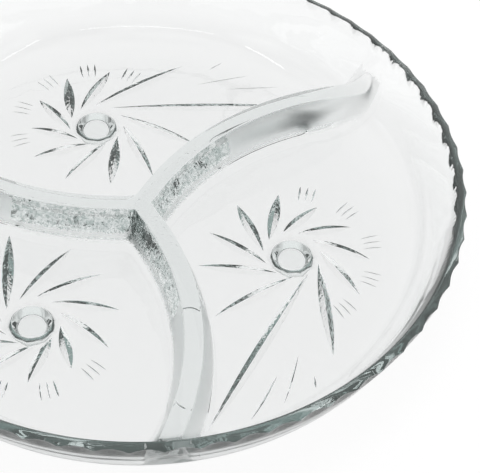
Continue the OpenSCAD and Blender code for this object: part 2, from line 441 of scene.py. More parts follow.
class Divider:
    """Middle line of the first divider and the distances to it."""

    def __init__(self, sizes: DividerSizes, wall: Wall) -> None:
        """Works out the line's curve and where its round end lies.

        Args:
            sizes: The sizes of the dividers.
            wall: The wall that they run into.
        """
        self.sizes = s = sizes
        self.wall = wall
        self.centre_r = math.hypot(s.straight, s.curve_r)
        self.centre = polar(s.straight, s.heading) + polar(s.curve_r, s.heading - 90)
        self.top_z = wall.floor_z + s.height
        self.end_r = wall.inside_r(self.top_z) - s.end_gap - s.top_w / 2
        self.groove_z = wall.sizes.foot_h + s.groove_depth
        taper = (s.base_w - s.top_w) / s.height
        self.groove_top_w = s.base_w - 2 * s.groove_wall - taper * (self.groove_z - wall.floor_z)
        self.groove_base_w = s.base_w - 2 * s.groove_wall + taper * wall.sizes.floor_t
        self.groove_end_r = min(wall.floor_r, wall.under_r) - s.groove_stop

    def curve_turn(self, r: float) -> float:
        """How far the curve has turned clockwise at a distance from the middle.

        Args:
            r: Distance from the middle of the tray.

        Returns:
            The turn in degrees from the curve's start.
        """
        s = self.sizes
        cos = (self.centre_r**2 + s.curve_r**2 - r**2) / (2 * s.curve_r * self.centre_r)
        return math.degrees(math.acos(cos)) - math.degrees(math.atan2(s.straight, s.curve_r))

    def turned(self, xy: Points) -> Points:
        """How far round the curve's centre, clockwise from the curve's start, each point lies.

        Args:
            xy: Points of the plan.

        Returns:
            Turns in degrees, from -180 to 180.
        """
        rel = xy - self.centre
        turn = self.sizes.heading + 90 - np.degrees(np.arctan2(rel[:, 1], rel[:, 0]))
        return (turn + 180) % 360 - 180

    def on_line(self, turn: float) -> Points:
        """Point of the middle line at a turn of the curve."""
        return self.centre + polar(self.sizes.curve_r, self.sizes.heading + 90 - turn)

    def line(self, step: float, offset: float = 0.0) -> Points:
        """Points along the divider, from the middle of the tray to the centre of its round end.

        Args:
            step: Distance between points.
            offset: Distance to the left of the middle line, negative to the right.

        Returns:
            An array of points of the plan.
        """
        s = self.sizes
        side = polar(offset, s.heading + 90)
        along = np.linspace(0, s.straight, max(2, round(s.straight / step) + 1))[:-1]
        straight = polar(along, s.heading) + side
        end = self.curve_turn(self.end_r)
        count = round(math.radians(end) * s.curve_r / step) + 1
        turns = s.heading + 90 - np.linspace(0, end, count)
        return np.vstack([straight, self.centre + polar(s.curve_r + offset, turns)])

    def away(self, xy: Points, start_r: float = 0.0, end_r: float | None = None) -> Points:
        """Distances from the stretch of the middle line between two radii.

        Args:
            xy: Points of the plan.
            start_r: Radius where the stretch starts; nought is the middle of the tray.
            end_r: Radius where it ends, or None for the divider's own round end.

        Returns:
            The distance of each point.
        """
        s = self.sizes
        end = self.curve_turn(self.end_r if end_r is None else end_r)
        start = self.curve_turn(start_r) if start_r > s.straight else 0.0
        turn = self.turned(xy)
        on_curve = np.abs(reach(xy - self.centre) - s.curve_r)
        near_ends = np.minimum(reach(xy - self.on_line(start)), reach(xy - self.on_line(end)))
        best = np.where((turn >= start) & (turn <= end), on_curve, near_ends)
        if start_r <= s.straight:
            along = np.clip(xy @ polar(1.0, s.heading), 0, s.straight)
            best = np.minimum(best, reach(xy - along[:, None] * polar(1.0, s.heading)))
        return best

    def ridge(self, away: Points) -> Points:
        """Height of the divider's top and sloping sides.

        Args:
            away: Distances from the middle line.

        Returns:
            The height at each distance.
        """
        s = self.sizes
        side = self.top_z - (away - s.top_w / 2) * 2 * s.height / (s.base_w - s.top_w)
        return smooth_min(np.full(away.shape, self.top_z), side, s.top_round)

    def groove(self, away: Points, r: Points) -> Points:
        """Height of the shallow groove's roof, which runs out towards the rim.

        Args:
            away: Distances from the middle line.
            r: Distances from the middle of the tray.

        Returns:
            The height at each point.
        """
        s, foot_h = self.sizes, self.wall.sizes.foot_h
        across = 2 * away / self.groove_base_w
        side = np.clip(1 - across, 0, None) / (1 - self.groove_top_w / self.groove_base_w)
        arch = smooth_min(np.ones(across.shape), side, s.groove_round)
        left = np.clip((self.groove_end_r + self.groove_base_w / 2 - r) / s.groove_run_out, 0, 1)
        roof = foot_h + (self.groove_z - foot_h) * arch * np.sin(left * math.pi / 2)
        return np.where(across < 1, roof, NOWHERE)


@dataclass
class Cut:
    """One straight cut of the wheel into the underside."""

    start: Points
    tip: Points
    width: float
    depth: float

    def frame(self, xy: Points) -> tuple[Points, Points]:
        """Place of each point along and across the cut.

        Args:
            xy: Points of the plan.

        Returns:
            Shares along the cut, from -1 to 1 inside it, and distances across it.
        """
        run = self.tip - self.start
        length = float(np.linalg.norm(run))
        unit = run / length
        rel = xy - (self.start + self.tip) / 2
        return rel @ unit * 2 / length, rel @ np.array([-unit[1], unit[0]])

    def deep(self, xy: Points) -> Points:
        """Depth of the cut at each point, below nought outside it."""
        along, across = self.frame(xy)
        return self.depth * (1 - along**2) - np.abs(across) * self.depth * 2 / self.width

    def outline(self, count: int) -> tuple[Points, Points, Points]:
        """Left edge, valley and right edge, each from the start to the tip.

        Args:
            count: Number of points on each line.

        Returns:
            Three arrays of points that share their first and last point.
        """
        share = np.sin(np.linspace(-math.pi / 2, math.pi / 2, count))
        run = self.tip - self.start
        unit = run / np.linalg.norm(run)
        side = np.array([-unit[1], unit[0]])
        middle = (self.start + self.tip) / 2 + share[:, None] * run / 2
        half = (self.width / 2 * (1 - share**2))[:, None] * side
        return middle + half, middle, middle - half


class Pinwheel:
    """The foot and the cuts of one compartment."""

    def __init__(self, sizes: PinwheelSizes, foot_h: float) -> None:
        """Lays out the leaves and the fine cuts round the first foot.

        Args:
            sizes: The sizes of the foot and the cuts.
            foot_h: Height of the foot.
        """
        self.sizes = s = sizes
        self.foot_h = foot_h
        self.place = polar(s.place_r, s.turn)
        self.cuts: list[Cut] = []
        for i, (extra, tip_r) in enumerate(s.leaf_tips):
            even = s.first_tip_turn - 360 / s.leaves * i
            self.add(s.start_r, even + s.swirl, tip_r, even - extra, s.leaf_w, s.leaf_depth)
        for gap in s.fan_gaps:
            even = s.first_tip_turn - 360 / s.leaves * gap
            for fan in s.fan_turns:
                near, far = s.fan_r - s.fan_len / 2, s.fan_r + s.fan_len / 2
                self.add(near, even + fan, far, even + fan, s.fan_w, s.fan_depth)
        for start_r, start_az, tip_r, tip_az in s.long_strokes:
            self.add(start_r, start_az, tip_r, tip_az, s.fan_w, s.fan_depth)

    def add(
        self, start_r: float, start_az: float, tip_r: float, tip_az: float, width: float, depth: float
    ) -> None:
        """Adds a cut between two points counted from the foot and from the foot's own direction.

        Args:
            start_r: Distance of the start from the foot.
            start_az: Direction of the start.
            tip_r: Distance of the tip from the foot.
            tip_az: Direction of the tip.
            width: Width in the middle.
            depth: Depth in the middle.
        """
        turn = self.sizes.turn
        start = self.place + polar(start_r, start_az + turn)
        self.cuts.append(Cut(start, self.place + polar(tip_r, tip_az + turn), width, depth))

    def under(self, xy: Points, base: Points) -> Points:
        """Height of the underside with the cuts taken out and the foot added.

        Args:
            xy: Points of the plan.
            base: Height of the plain underside there.

        Returns:
            The height with cuts and foot.
        """
        z = base + np.max([np.clip(c.deep(xy), 0, None) for c in self.cuts], axis=0)
        s = self.sizes
        r = reach(xy - self.place)
        cone = (r - s.base_d / 2) * 2 * self.foot_h / (s.root_d - s.base_d)
        foot = smooth_min(cone, np.full(len(xy), self.foot_h), s.foot_edge_round)
        foot = smooth_max(np.zeros(len(xy)), foot, s.foot_base_round)
        return np.where(r < s.root_d / 2 + MARGIN, np.minimum(z, foot), z)

    def regions(self, xy: Points) -> Points:
        """Number of the cut's side that each point lies on.

        Args:
            xy: Points of the plan.

        Returns:
            The number at each point, which is that of Region.SMOOTH outside all cuts.
        """
        out = np.full(len(xy), Region.SMOOTH.value)
        best = np.zeros(len(xy))
        for i, cut in enumerate(self.cuts):
            deep = cut.deep(xy)
            mark = Region.LEAF.value + 2 * i + (cut.frame(xy)[1] > 0)
            out = np.where(deep > best, mark, out)
            best = np.maximum(best, deep)
        return out


class Plan:
    """Points and lines of the plan from which one face of the glass is netted."""

    batch = 400
    same_point = 1e-4

    def __init__(self) -> None:
        """Starts an empty plan."""
        self.points: list[Points] = []
        self.edges: list[tuple[int, int]] = []
        self.outline_edges = 0
        self.count = 0

    def add_line(self, points: Points, closed: bool = False) -> None:
        """Adds a line of points joined in order.

        Args:
            points: The line's points.
            closed: Whether the last point is joined to the first.
        """
        ids = list(range(self.count, self.count + len(points)))
        self.points.append(points)
        self.count += len(points)
        self.edges += list(zip(ids[:-1], ids[1:]))
        if closed:
            self.edges.append((ids[-1], ids[0]))

    def add_free(self, points: Points, gap: float) -> None:
        """Adds loose points, leaving out any that lie too near to a point that is already there.

        Args:
            points: The loose points.
            gap: Least distance from the points that are there.
        """
        have = np.vstack(self.points)
        keep = np.ones(len(points), bool)
        for part in np.array_split(np.arange(len(points)), max(1, len(points) // self.batch)):
            near = np.min(np.linalg.norm(points[part, None] - have[None], axis=2), axis=1)
            keep[part] = near > gap
        self.points.append(points[keep])
        self.count += int(keep.sum())

    def net(self, inside: Points) -> Net:
        """Nets the plan inside its outline, which is its first line, with triangles.

        Args:
            inside: A point inside the outline.

        Returns:
            The points, the triangles, and for each point the plan's ids that it stands for.
        """
        flat = [Vector(p) for p in np.vstack(self.points)]
        netted = delaunay_2d_cdt(flat, self.edges, [], 0, self.same_point, True)
        verts, edges, faces, vert_ids, edge_ids, _ = netted
        points = np.array([tuple(v) for v in verts])
        outer = [any(i < self.outline_edges for i in ids) for ids in edge_ids]
        fence = {tuple(sorted(e)) for e, is_outer in zip(edges, outer) if is_outer}
        beside: dict[tuple[int, int], list[int]] = {}
        for n, f in enumerate(faces):
            for a, b in zip(f, (*f[1:], f[0])):
                beside.setdefault((min(a, b), max(a, b)), []).append(n)
        middles = points[np.array(faces)].mean(axis=1)
        start = int(np.argmin(np.linalg.norm(middles - inside, axis=1)))
        found, queue = {start}, [start]
        while queue:
            f = faces[queue.pop()]
            for a, b in zip(f, (*f[1:], f[0])):
                edge = (min(a, b), max(a, b))
                if edge not in fence:
                    for n in beside[edge]:
                        if n not in found:
                            found.add(n)
                            queue.append(n)
        return points, [tuple(faces[n]) for n in sorted(found)], vert_ids


class GlassTray:
    """The tray as one closed body of glass, netted for one third and repeated round the middle."""

    def __init__(self) -> None:
        """Sets up the parts of the tray from their sizes."""
        self.wall = Wall(WallSizes())
        self.divider = Divider(DividerSizes(), self.wall)
        self.pinwheel = Pinwheel(PinwheelSizes(), self.wall.sizes.foot_h)
        self.grain = GrainSizes()
        self.net = NetSizes()
        self.random = np.random.default_rng(self.grain.seed)
        half, top = self.divider.groove_base_w / 2, self.divider.groove_top_w / 2
        self.groove_offsets = [top - inset for inset in self.net.groove_insets] + [half]

    def groove_stops(self) -> list[float]:
        """Where the groove's round ends cross the middle line.

        Returns:
            Turns of the curve.
        """
        d = self.divider
        first, last = d.curve_turn(d.sizes.groove_start_r), d.curve_turn(d.groove_end_r)
        chords = [2 * math.degrees(math.asin(o / 2 / d.sizes.curve_r)) for o in self.groove_offsets]
        return [first - c for c in chords] + [last + c for c in chords]

    def seam(self, stops_at: list[float]) -> Points:
        """Line along the first divider and on to the rim, where one third meets the next.

        Args:
            stops_at: Turns of the curve at which the line has a point of its own.

        Returns:
            The line's points.
        """
        n = self.net
        inner = self.divider.line(n.step)
        for turn in stops_at:
            point = self.divider.on_line(turn)
            inner = inner[reach(inner - point) > n.stop_clear]
            far = reach(inner) > np.linalg.norm(point)
            inner = np.vstack([inner[~far], point, inner[far]])
        end = inner[-1]
        step = 360 / self.wall.sizes.teeth / n.per_tooth
        az = math.degrees(math.atan2(end[1], end[0]))
        self.seam_az = self.wall.sizes.tooth_turn + round((az - self.wall.sizes.tooth_turn) / step) * step
        rim = polar(float(self.wall.edge_r(np.array([self.seam_az]))[0]), self.seam_az)
        run = float(np.linalg.norm(rim - end))
        stops = sorted({*n.offsets, *n.stops, run - n.last_stop, run})
        stops = [v for v in stops if v == run or v < run - n.stop_clear]
        return np.vstack([inner, end + np.array(stops)[:, None] * (rim - end) / run])

    def rim_line(self) -> Points:
        """The toothed edge from one seam clockwise to the next.

        Returns:
            The edge's points, without its two ends.
        """
        count = self.wall.sizes.teeth // 3 * self.net.per_tooth
        az = self.seam_az - np.arange(1, count) * THIRD / count
        return polar(self.wall.edge_r(az), az)

    def rings(self, radii: list[float], per_third: int) -> Points:
        """Loose points on rings of the third, clear of its seams."""
        az = self.seam_az - np.arange(1, per_third) * THIRD / per_third
        return np.vstack([polar(r, az) for r in radii])

    def sector_start(self, stops_at: list[float]) -> Plan:
        """A plan with the third's outline: along one seam, round the rim and back along the next.

        Args:
            stops_at: Turns of the curve at which the seam has a point of its own.

        Returns:
            The plan.
        """
        plan = Plan()
        seam = self.seam(stops_at)
        rim = self.rim_line()
        back = turn_points(seam, -THIRD)[::-1][:-1]
        ring = np.vstack([seam, rim, back])
        plan.add_line(ring, closed=True)
        plan.outline_edges = len(ring)
        return plan

    def add_offsets(self, plan: Plan, offsets: list[float], start_r: float, end_r: float | None) -> None:
        """Adds lines beside both seams' dividers at set distances, with their round ends.

        Args:
            plan: The plan to add to.
            offsets: Distances from the middle line.
            start_r: Radius where the lines start, or nought for the middle of the tray.
            end_r: Radius of the centre of the round end, or None for the divider's own.
        """
        d, s, n = self.divider, self.divider.sizes, self.net
        end = d.curve_turn(d.end_r if end_r is None else end_r)
        tangent = s.heading - end
        for offset in offsets:
            chord = math.degrees(math.asin(offset / 2 / s.curve_r))
            cap_to = self.seam_az if end_r is None else tangent - chord
            for sign, turned in ((-1, 0), (1, -THIRD)):
                cap_from = tangent + 90 * sign
                arc = math.radians(abs(cap_to - cap_from)) * offset
                turns = np.linspace(cap_from, cap_to, max(3, round(arc / n.cap_step) + 1))
                cap = d.on_line(end) + polar(offset, turns)[1 : -1 if end_r is None else None]
                points = d.line(n.step, sign * offset)
                points = points[d.turned(points) < end - n.cap_clear_turn]
                if start_r > 0:
                    start = d.curve_turn(start_r)
                    back = s.heading - start + 180
                    count = max(3, round(math.radians(90) * offset / n.cap_step) + 1)
                    turns = np.linspace(back + chord, back - 90 * sign, count)
                    front = d.on_line(start) + polar(offset, turns)[:-1]
                    points = np.vstack([front, points[d.turned(points) > start]])
                else:
                    pair = self.away_pair(turn_points(points, turned))
                    own, other = pair if sign < 0 else pair[::-1]
                    points = points[(np.abs(own - offset) < n.on_line) & (other > offset + n.joint_clear)]
                plan.add_line(turn_points(np.vstack([points, cap]), turned))

    def away_pair(
        self, xy: Points, start_r: float = 0.0, end_r: float | None = None
    ) -> tuple[Points, Points]:
        """Distances from the first divider's line and from the next one's."""
        second = turn_points(xy, THIRD)
        return self.divider.away(xy, start_r, end_r), self.divider.away(second, start_r, end_r)

    def nearest(self, xy: Points) -> Points:
        """Distances from the nearest divider's line."""
        return np.minimum(*self.away_pair(xy))

    def top_z(self, xy: Points) -> Points:
        """Height of the upper face.

        Args:
            xy: Points of the plan.

        Returns:
            The height at each point.
        """
        s = self.divider.sizes
        r = reach(xy)
        ridge = self.divider.ridge(smooth_min(*self.away_pair(xy), s.joint_blend))
        near_rim = np.clip((r - s.nose_blend_from_r) / s.nose_blend_run, 0, 1)
        return smooth_max(ridge, self.wall.inner(r), s.floor_blend + s.nose_blend * near_rim)

    def under_z(self, xy: Points) -> Points:
        """Height of the lower face.

        Args:
            xy: Points of the plan.

        Returns:
            The height at each point.
        """
        a, b = self.away_pair(xy, self.divider.sizes.groove_start_r, self.divider.groove_end_r)
        groove = self.divider.groove(np.minimum(a, b), reach(xy))
        return np.maximum(self.pinwheel.under(xy, self.wall.outer(xy)), groove)

    def heel_radii(self, flat_r: float, bend_r: float, lean: float, count: int) -> list[float]:
        """Radii of rings that follow a heel at even turns."""
        return [flat_r + bend_r * math.sin(math.radians(a)) for a in np.linspace(0, lean, count)]

    def inset_rim(self, inset: float) -> Points:
        """The toothed edge, moved towards the middle.

        Args:
            inset: Distance by which it moves.

        Returns:
            The moved points.
        """
        rim = self.rim_line()
        r = reach(rim)[:, None]
        return rim * (r - inset) / r

    def net_top(self) -> Net:
        """Nets the upper face of one third.

        Returns:
            The points, the triangles, and for each point the plan's ids that it stands for.
        """
        plan = self.sector_start([])
        w, n = self.wall, self.net
        self.add_offsets(plan, n.offsets, 0.0, None)
        heel = self.heel_radii(w.floor_r, w.sizes.heel_r, w.sizes.inner_lean, n.heel_rings)
        self.add_bar_grain(plan, self.grain.side_from + self.grain.side_inset)
        lip = w.inside_r(w.sizes.height)
        wall = list(np.linspace(heel[-1], lip - n.lip_from_wall, n.wall_rings))[1:]
        plan.add_free(self.rings(heel + wall, n.ring_points), n.ring_clear)
        plan.add_free(self.rings([lip + v for v in n.lip_rings], n.fine_points), n.lip_clear)
        for inset in n.edge_insets:
            plan.add_free(self.inset_rim(inset), n.edge_clear)
        return plan.net(self.pinwheel.place)

    def net_under(self) -> Net:
        """Nets the lower face of one third.

        Returns:
            The points, the triangles, and for each point the plan's ids that it stands for.
        """
        plan = self.sector_start(self.groove_stops())
        d, w, n, s = self.divider, self.wall, self.net, self.pinwheel.sizes
        self.add_offsets(plan, self.groove_offsets, d.sizes.groove_start_r, d.groove_end_r)
        for cut in self.pinwheel.cuts:
            is_leaf = cut.width > self.grain.leaf_from_w
            left, middle, right = cut.outline(n.leaf_points if is_leaf else n.fine_cut_points)
            plan.add_line(np.vstack([left, right[::-1][1:-1]]), closed=True)
            plan.add_line(middle[1:-1])
        radii = [s.base_d / 2 + v for v in n.foot_base_rings] + [(s.base_d + s.root_d) / 4]
        for r in radii + [s.root_d / 2 + v for v in n.foot_root_rings]:
            turns = np.arange(0, 360, n.foot_turn_step)
            plan.add_line(self.pinwheel.place + polar(r, turns), closed=True)
        self.add_grain(plan)
        heel = self.heel_radii(w.under_r, w.out_heel_r, w.sizes.lean, n.under_heel_rings)
        wall = list(np.linspace(heel[-1], n.under_wall_r, n.under_wall_rings))[1:]
        plan.add_free(self.rings(heel + wall, n.ring_points), n.ring_clear)
        fine = self.rings(list(np.arange(n.print_from_r, n.print_to_r, n.print_step)), n.fine_points)
        edge = w.edge_r(np.degrees(np.arctan2(fine[:, 1], fine[:, 0])))
        plan.add_free(fine[reach(fine) < edge - n.print_clear], n.print_clear)
        plan.add_free(self.inset_rim(n.low_edge_inset), n.low_edge_clear)
        return plan.net(self.pinwheel.place)

    def add_grain(self, plan: Plan) -> None:
        """Adds scattered points inside the leaves and under the solid bars.

        Args:
            plan: The plan to add to.
        """
        g = self.grain
        for cut in self.pinwheel.cuts:
            if cut.width < g.leaf_from_w:
                continue
            run = cut.tip - cut.start
            side = np.array([-run[1], run[0]]) / np.linalg.norm(run)
            count = int(np.linalg.norm(run) * cut.width / g.step**2)
            along = self.random.random(count)
            across = self.random.uniform(-0.5, 0.5, count) * cut.width
            points = cut.start + along[:, None] * run + across[:, None] * side
            plan.add_free(points[cut.deep(points) > g.leaf_clear], g.step * g.leaf_gap_share)
        self.add_bar_grain(plan, g.step)

    def add_bar_grain(self, plan: Plan, first: float) -> None:
        """Adds rows of scattered points beside the solid part of the dividers.

        Args:
            plan: The plan to add to.
            first: Distance from the middle line to the first row.
        """
        g = self.grain
        for offset in np.arange(first, g.bar_half, g.step):
            for sign, turned in ((-1, 0), (1, -THIRD)):
                points = self.divider.line(g.step, sign * offset)
                points = points + self.random.uniform(-g.scatter, g.scatter, points.shape) * g.step
                points = points[reach(points) < g.bar_end_r]
                plan.add_free(turn_points(points, turned), g.step * g.bar_gap_share)

    def under_bar(self, xy: Points) -> Points:
        """Whether each point lies under the solid part of a divider, but not on a seam."""
        g, away = self.grain, self.nearest(xy)
        return (away > g.seam_clear) & (away < g.bar_half) & (reach(xy) < g.bar_end_r)

    def grain_z(self, xy: Points) -> Points:
        """How much the grain takes out of the underside at each point.

        Args:
            xy: Points of the plan.

        Returns:
            The random depth at each point.
        """
        g = self.grain
        deep = np.max([c.deep(xy) for c in self.pinwheel.cuts if c.width > g.leaf_from_w], axis=0)
        middle = np.clip(self.nearest(xy) / g.side_from, g.bar_middle_share, 1)
        in_leaf = np.where(deep > g.leaf_rough_from, g.cut_height, 0.0)
        height = in_leaf + self.under_bar(xy) * middle * g.bar_height
        return height * self.random.random(len(xy))

    def on_side(self, xy: Points) -> Points:
        """Whether each point lies on a sloping side of the solid part of a divider.

        Args:
            xy: Points of the plan.

        Returns:
            True or false for each point.
        """
        g, away = self.grain, self.nearest(xy)
        beside = (away > g.side_from - g.side_lap) & (away < g.bar_half)
        return beside & (reach(xy) < g.bar_end_r + g.side_over)

    def on_satin(self, xy: Points) -> Points:
        """Whether each point lies on a sloping side of the outer part of a divider.

        Args:
            xy: Points of the plan.

        Returns:
            True or false for each point.
        """
        g, away = self.grain, self.nearest(xy)
        beside = (away > g.side_from - g.side_lap) & (away < g.soft_half)
        return beside & ~self.on_side(xy) & (reach(xy) < self.divider.end_r + g.side_over)

    def under_regions(self, corners: Points, middle: Points) -> Points:
        """Region of each face of the underside.

        Args:
            corners: The three corners of each face.
            middle: The middle of each face in plan.

        Returns:
            The regions' numbers.
        """
        grained = Region.GRAINED.value
        region = self.pinwheel.regions(middle)
        region = np.where(self.under_bar(middle) & (region < grained), grained, region)
        across = np.cross(corners[:, 1] - corners[:, 0], corners[:, 2] - corners[:, 0])
        steep = np.abs(across[:, 2]) < self.grain.steep * reach(across)
        in_groove = self.nearest(middle) < self.divider.groove_base_w / 2
        return np.where(steep & in_groove & (region < grained), Region.GROOVE_WALL.value, region)

    def join_rims(
        self, top: Points, low: Points, top_ids: list[list[int]], low_ids: list[list[int]]
    ) -> Points:
        """Gives the two faces the same points along the toothed edge and at its ends.

        Args:
            top: Points of the upper face, which take the lower face's height there.
            low: Points of the lower face.
            top_ids: For each upper point, the places in the plan that it stands for.
            low_ids: The same for each lower point.

        Returns:
            For each lower point, its place in the mesh of both faces.
        """
        rim_ids = range(len(self.rim_line()) + 2)
        top_start, low_start = len(self.seam([])) - 1, len(self.seam(self.groove_stops())) - 1
        on_rim = {
            i - top_start: place for place, ids in enumerate(top_ids) for i in ids if i - top_start in rim_ids
        }
        index = np.arange(len(low)) + len(top)
        for place, ids in enumerate(low_ids):
            shared = [on_rim[i - low_start] for i in ids if i - low_start in on_rim]
            if shared:
                index[place] = shared[0]
                top[shared[0], 2] = low[place, 2]
        return index

    def third_mesh(self) -> bpy.types.Mesh:
        """Mesh of one third, with its two faces joined along the rim.

        Returns:
            The mesh, in metres, with each face's region, its painted scratch shade and its satin finish as
            attributes.
        """
        top_xy, top_faces, top_ids = self.net_top()
        low_xy, low_faces, low_ids = self.net_under()
        rough = self.on_side(top_xy) * self.grain.side_height * self.random.random(len(top_xy))
        top = np.column_stack([top_xy, self.top_z(top_xy) - rough])
        low = np.column_stack([low_xy, self.under_z(low_xy) + self.grain_z(low_xy)])
        index = self.join_rims(top, low, top_ids, low_ids)
        faces = list(top_faces) + [tuple(int(index[v]) for v in f[::-1]) for f in low_faces]
        mesh = bpy.data.meshes.new("glass_third")
        mesh.from_pydata([tuple(p) for p in np.vstack([top, low]) * MM], [], faces)
        middle = top_xy[np.array(top_faces)].mean(axis=1)
        side, none = self.on_side(middle), np.zeros(len(low_faces))
        upper = np.where(side, Region.GRAINED.value, Region.UPPER.value)
        lower = self.under_regions(low[np.array(low_faces)], low_xy[np.array(low_faces)].mean(axis=1))
        # The bars' sloping sides are marked for the glass's painted shade: darker patches that stand for the
        # light their rough faces scatter away
        for name, kind, values in (
            ("region", "INT", np.concatenate([upper, lower]).astype(np.int32)),
            ("scratch_shaded", "FLOAT", np.concatenate([side, none]).astype(np.float32)),
            ("satin", "FLOAT", np.concatenate([self.on_satin(middle), none]).astype(np.float32)),
        ):
            mesh.attributes.new(name, kind, "FACE").data.foreach_set("value", values)
        LOG.info("one third: %d points, %d triangles", len(mesh.vertices), len(mesh.polygons))
        return mesh

    def repeat_tree(self, material: bpy.types.Material) -> bpy.types.NodeTree:
        """Geometry nodes that turn copies of a third about the middle and weld them.

        Args:
            material: The glass.

        Returns:
            The node tree.
        """
        tree = bpy.data.node_groups.new("thirds_round_the_middle", "GeometryNodeTree")
        face = tree.interface
        face.new_socket("Geometry", in_out="INPUT", socket_type="NodeSocketGeometry")
        for name, kind, value in (
            ("Copies", "NodeSocketInt", 360 // THIRD),
            ("Weld distance", "NodeSocketFloat", WELD),
            ("Glass", "NodeSocketMaterial", material),
        ):
            face.new_socket(name, in_out="INPUT", socket_type=kind).default_value = value
        face.new_socket("Geometry", in_out="OUTPUT", socket_type="NodeSocketGeometry")
        given = put(tree, "NodeGroupInput").outputs
        single = put(tree, "GeometryNodeGeometryToInstance", {}, {"Geometry": given["Geometry"]})
        double = put(tree, "GeometryNodeDuplicateElements", {"domain": "INSTANCE"}, {
            "Geometry": single.outputs[0], "Amount": given["Copies"]})
        copies, number = Channel(tree, given["Copies"]), Channel(tree, double.outputs["Duplicate Index"])
        spin = put(tree, "ShaderNodeCombineXYZ", {}, {"Z": copies.join("DIVIDE", math.tau, copies) * number})
        turn = put(tree, "GeometryNodeRotateInstances", {}, {
            "Instances": double.outputs["Geometry"], "Rotation": spin.outputs[0]})
        real = put(tree, "GeometryNodeRealizeInstances", {}, {"Geometry": turn.outputs[0]})
        merge = put(tree, "GeometryNodeMergeByDistance", {}, {
            "Geometry": real.outputs[0], "Distance": given["Weld distance"]})
        paint = put(tree, "GeometryNodeSetMaterial", {}, {
            "Geometry": merge.outputs[0], "Material": given["Glass"]})
        put(tree, "NodeGroupOutput", {}, {"Geometry": paint.outputs[0]})
        return tree

    def build(self, material: bpy.types.Material) -> None:
        """Builds the whole tray, which stands for every node of the CAD part.

        Args:
            material: The glass.
        """
        third = bpy.data.objects.new("glass_third", self.third_mesh())
        bpy.context.scene.collection.objects.link(third)
        modifier = third.modifiers.new("Thirds", "NODES")
        modifier.node_group = self.repeat_tree(material)
        graph = bpy.context.evaluated_depsgraph_get()
        mesh = bpy.data.meshes.new_from_object(third.evaluated_get(graph))
        third.modifiers.remove(modifier)
        bpy.data.objects.remove(third)
        mesh.name = "glass_tray"
        self.crease(mesh)
        tray = bpy.data.objects.new("glass_tray", mesh)
        bpy.context.scene.collection.objects.link(tray)
        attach(tray, "root")
        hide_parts(*sorted(o["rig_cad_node"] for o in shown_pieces() if "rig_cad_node" in o))
        LOG.info("tray: %d points, %d faces", len(mesh.vertices), len(mesh.polygons))

    def crease(self, mesh: bpy.types.Mesh) -> None:
        """Shades the mesh smooth, with facets in the grain and crisp edges where regions meet.

        Args:
            mesh: The tray's mesh, which loses its attribute "region" here.
        """
        region = np.zeros(len(mesh.polygons), np.int32)
        mesh.attributes["region"].data.foreach_get("value", region)
        mesh.polygons.foreach_set("use_smooth", region < Region.GRAINED.value)
        edge_of = np.zeros(len(mesh.loops), np.int32)
        mesh.loops.foreach_get("edge_index", edge_of)
        face_of = np.repeat(np.arange(len(mesh.polygons)), 3)
        low = np.full(len(mesh.edges), region.max())
        high = np.full(len(mesh.edges), region.min())
        np.minimum.at(low, edge_of, region[face_of])
        np.maximum.at(high, edge_of, region[face_of])
        mesh.edges.foreach_set("use_edge_sharp", low != high)
        mesh.attributes.remove(mesh.attributes["region"])


class Channel:
    """A shader socket with Python's operators, so that maths on it adds Math nodes."""

    def __init__(self, tree: bpy.types.NodeTree, socket: bpy.types.NodeSocket) -> None:
        """Wraps a socket of a tree."""
        self.tree, self.socket = tree, socket

    def join(self, operation: str, first: object, second: object) -> "Channel":
        """Adds a Math node on two values or channels.

        Args:
            operation: The node's operation.
            first: Its first value or channel.
            second: Its second value or channel.

        Returns:
            The node's result.
        """
        node = self.tree.nodes.new("ShaderNodeMath")
        node.operation = operation
        for place, value in enumerate((first, second)):
            if isinstance(value, Channel):
                self.tree.links.new(value.socket, node.inputs[place])
            else:
                node.inputs[place].default_value = float(value)
        return Channel(self.tree, node.outputs[0])

    def __add__(self, other: object) -> "Channel":
        """Sum."""
        return self.join("ADD", self, other)

    def __mul__(self, other: object) -> "Channel":
        """Product."""
        return self.join("MULTIPLY", self, other)

    def __sub__(self, other: object) -> "Channel":
        """Difference."""
        return self.join("SUBTRACT", self, other)

    def __rsub__(self, other: object) -> "Channel":
        """Difference the other way round."""
        return self.join("SUBTRACT", other, self)

    __radd__ = __add__
    __rmul__ = __mul__


def put(
    tree: bpy.types.NodeTree, kind: str, settings: dict | None = None, values: dict | None = None
) -> bpy.types.Node:
    """Adds a node, sets its settings first and then the values or links of its sockets.

    Args:
        tree: The tree to add to.
        kind: The node's type.
        settings: Properties of the node.
        values: Name or place of a socket to its value, or to a Channel or socket that is linked to it.

    Returns:
        The node.
    """
    node = tree.nodes.new(kind)
    for name, value in (settings or {}).items():
        setattr(node, name, value)
    for name, value in (values or {}).items():
        socket = node.inputs[name]
        if isinstance(value, Channel):
            tree.links.new(value.socket, socket)
        elif isinstance(value, bpy.types.NodeSocket):
            tree.links.new(value, socket)
        else:
            socket.default_value = value
    return node


def new_material(name: str) -> tuple[bpy.types.Material, bpy.types.NodeTree]:
    """Makes a material with an empty node tree.

    Args:
        name: The material's name.

    Returns:
        The material and its tree.
    """
    made = bpy.data.materials.new(name)
    made.use_nodes = True
    made.node_tree.nodes.clear()
    return made, made.node_tree


